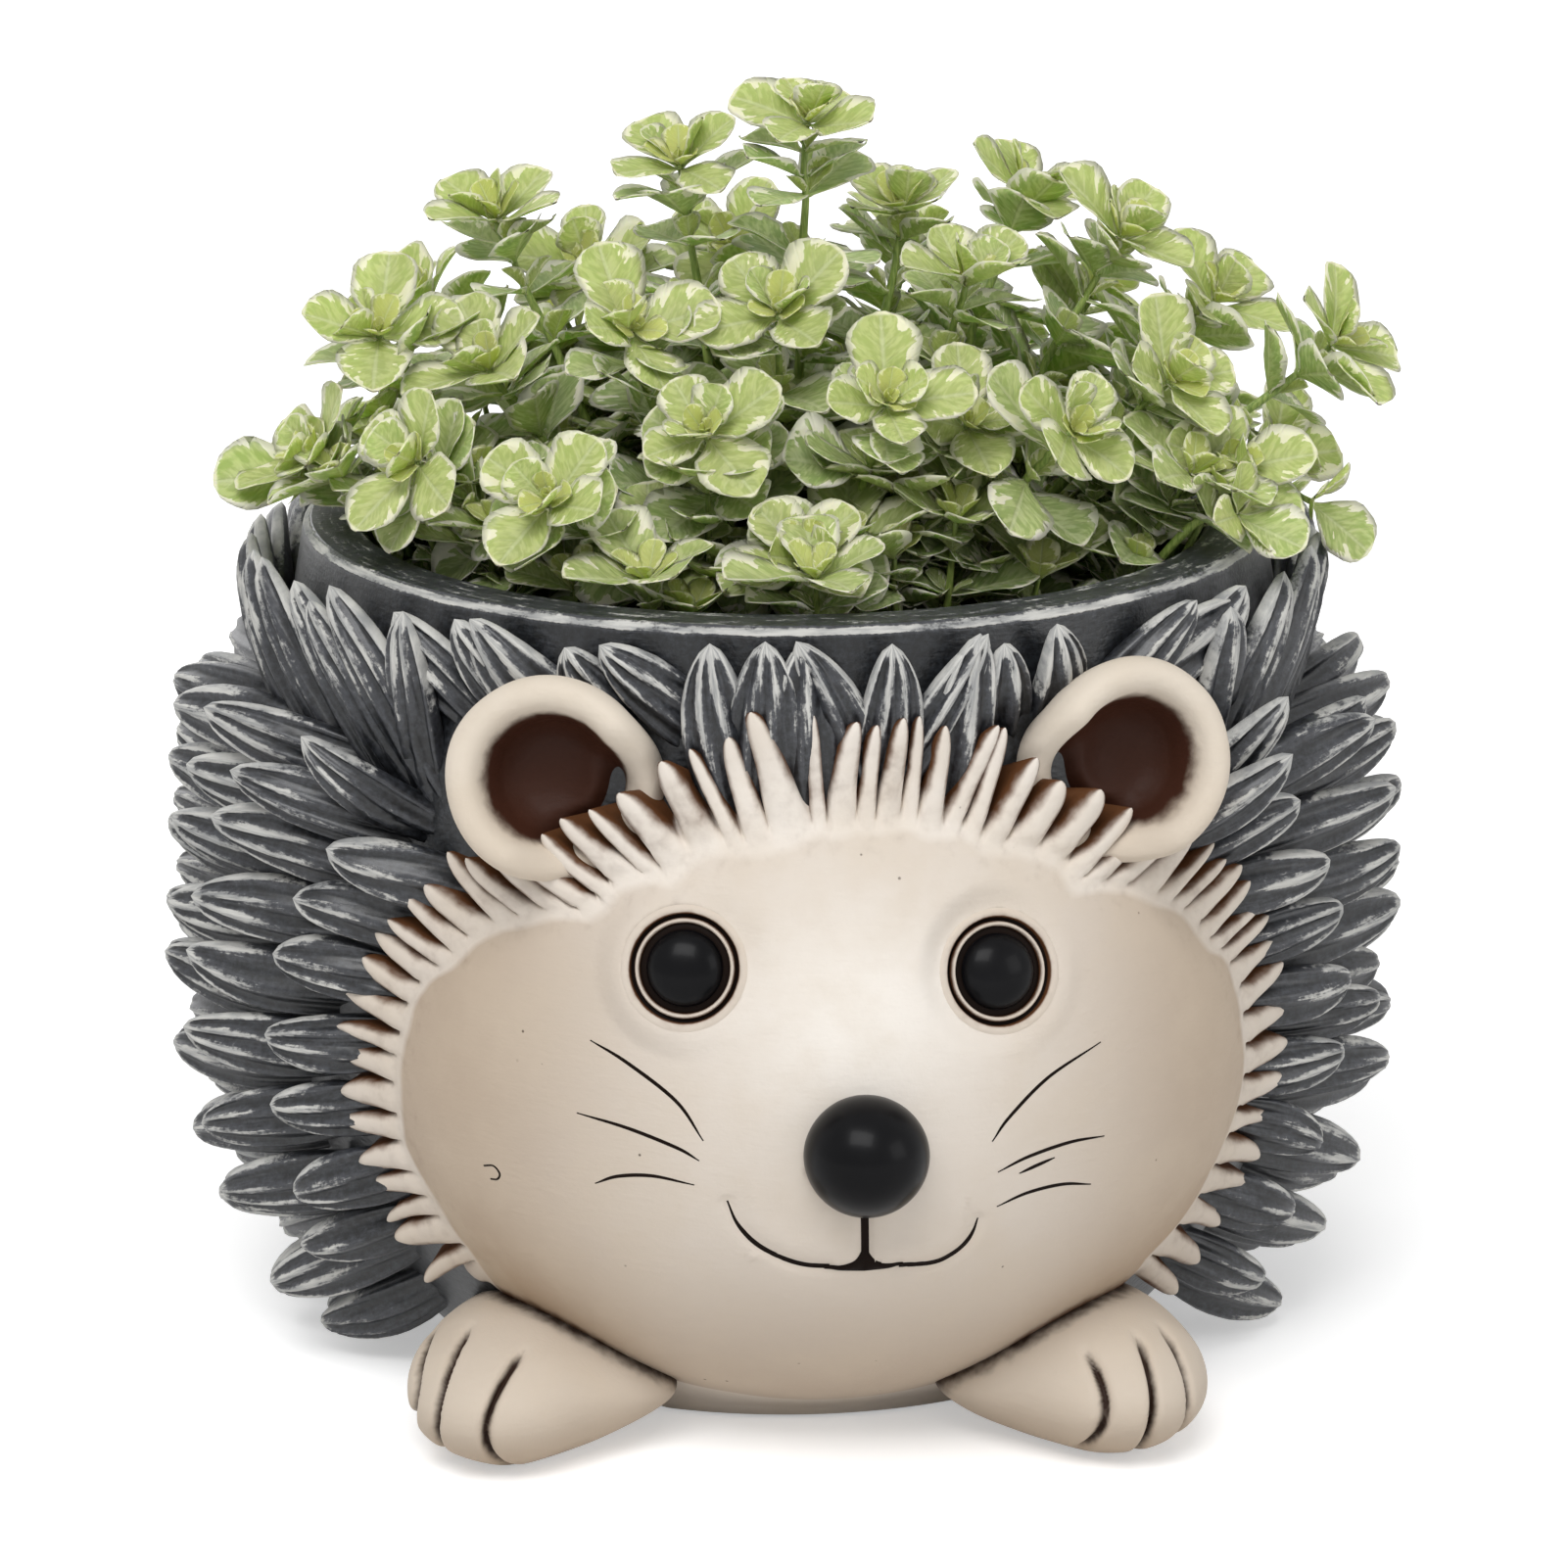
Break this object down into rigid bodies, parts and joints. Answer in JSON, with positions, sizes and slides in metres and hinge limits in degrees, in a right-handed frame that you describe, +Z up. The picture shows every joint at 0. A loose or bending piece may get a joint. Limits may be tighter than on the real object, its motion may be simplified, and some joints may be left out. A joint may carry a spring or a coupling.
{
  "type": "animal shaped planter",
  "caption": "Round pot shaped as a sitting hedgehog, with a pale face, ears and paws, a coat of leaf-shaped quills and a leafy plant growing out of its open top.",
  "frame": {"origin": "centre of the pot's foot ring, on the ground", "axes": "+Z up along the pot's axis, -Y towards the viewer where the face looks, +X to the viewer's right"},
  "size_m": [0.2061, 0.224, 0.2079],
  "materials": {
    "charcoal_pot": "matt",
    "charcoal_quills": "matt, pale grey brushed over the ridges",
    "cream_face": "matt",
    "cream_fringe": "matt, brown wash in the gaps",
    "ears": "matt, dark brown wash in the hollow",
    "paws": "matt",
    "black_gloss": "gloss",
    "black_rubber": "matt",
    "compost": "rough",
    "leaves": "satin, cream edges"
  },
  "bodies": {
    "pot": {"face_fringe": "cream_fringe", "face_mask": "cream_face", "left_ear": "ears", "left_eye": "black_gloss", "left_paw": "paws", "nose": "black_gloss", "pot_shell": "charcoal_pot", "quill_collar": "charcoal_quills", "quill_row_01": "charcoal_quills", "quill_row_02": "charcoal_quills", "quill_row_03": "charcoal_quills", "quill_row_04": "charcoal_quills", "quill_row_05": "charcoal_quills", "quill_row_06": "charcoal_quills", "quill_row_07": "charcoal_quills", "quill_row_08": "charcoal_quills", "quill_row_09": "charcoal_quills", "quill_row_10": "charcoal_quills", "quill_row_11": "charcoal_quills", "quill_row_12": "charcoal_quills", "quill_row_13": "charcoal_quills", "quill_row_14": "charcoal_quills", "right_ear": "ears", "right_eye": "black_gloss", "right_paw": "paws"},
    "plant": {"soil": "compost", "sprig_01": "leaves", "sprig_02": "leaves", "sprig_03": "leaves", "sprig_04": "leaves", "sprig_05": "leaves", "sprig_06": "leaves", "sprig_07": "leaves", "sprig_08": "leaves", "sprig_09": "leaves", "sprig_10": "leaves", "sprig_11": "leaves", "sprig_12": "leaves", "sprig_13": "leaves", "sprig_14": "leaves", "sprig_15": "leaves", "sprig_16": "leaves", "sprig_17": "leaves", "sprig_18": "leaves", "sprig_19": "leaves", "sprig_20": "leaves", "sprig_21": "leaves", "sprig_22": "leaves", "sprig_23": "leaves", "sprig_24": "leaves", "sprig_25": "leaves", "sprig_26": "leaves", "sprig_27": "leaves", "sprig_28": "leaves", "sprig_29": "leaves", "sprig_30": "leaves", "sprig_31": "leaves", "sprig_32": "leaves"},
    "plug": {"drain_plug": "black_rubber"}
  },
  "joints": [
    {"name": "plant_lift", "type": "slide", "parent": "pot", "child": "plant", "axis": [0, 0, 1], "range_m": [0, 0.15]},
    {"name": "plug_pull", "type": "slide", "parent": "pot", "child": "plug", "axis": [0, 0, -1], "range_m": [0, 0.02]}
  ]
}
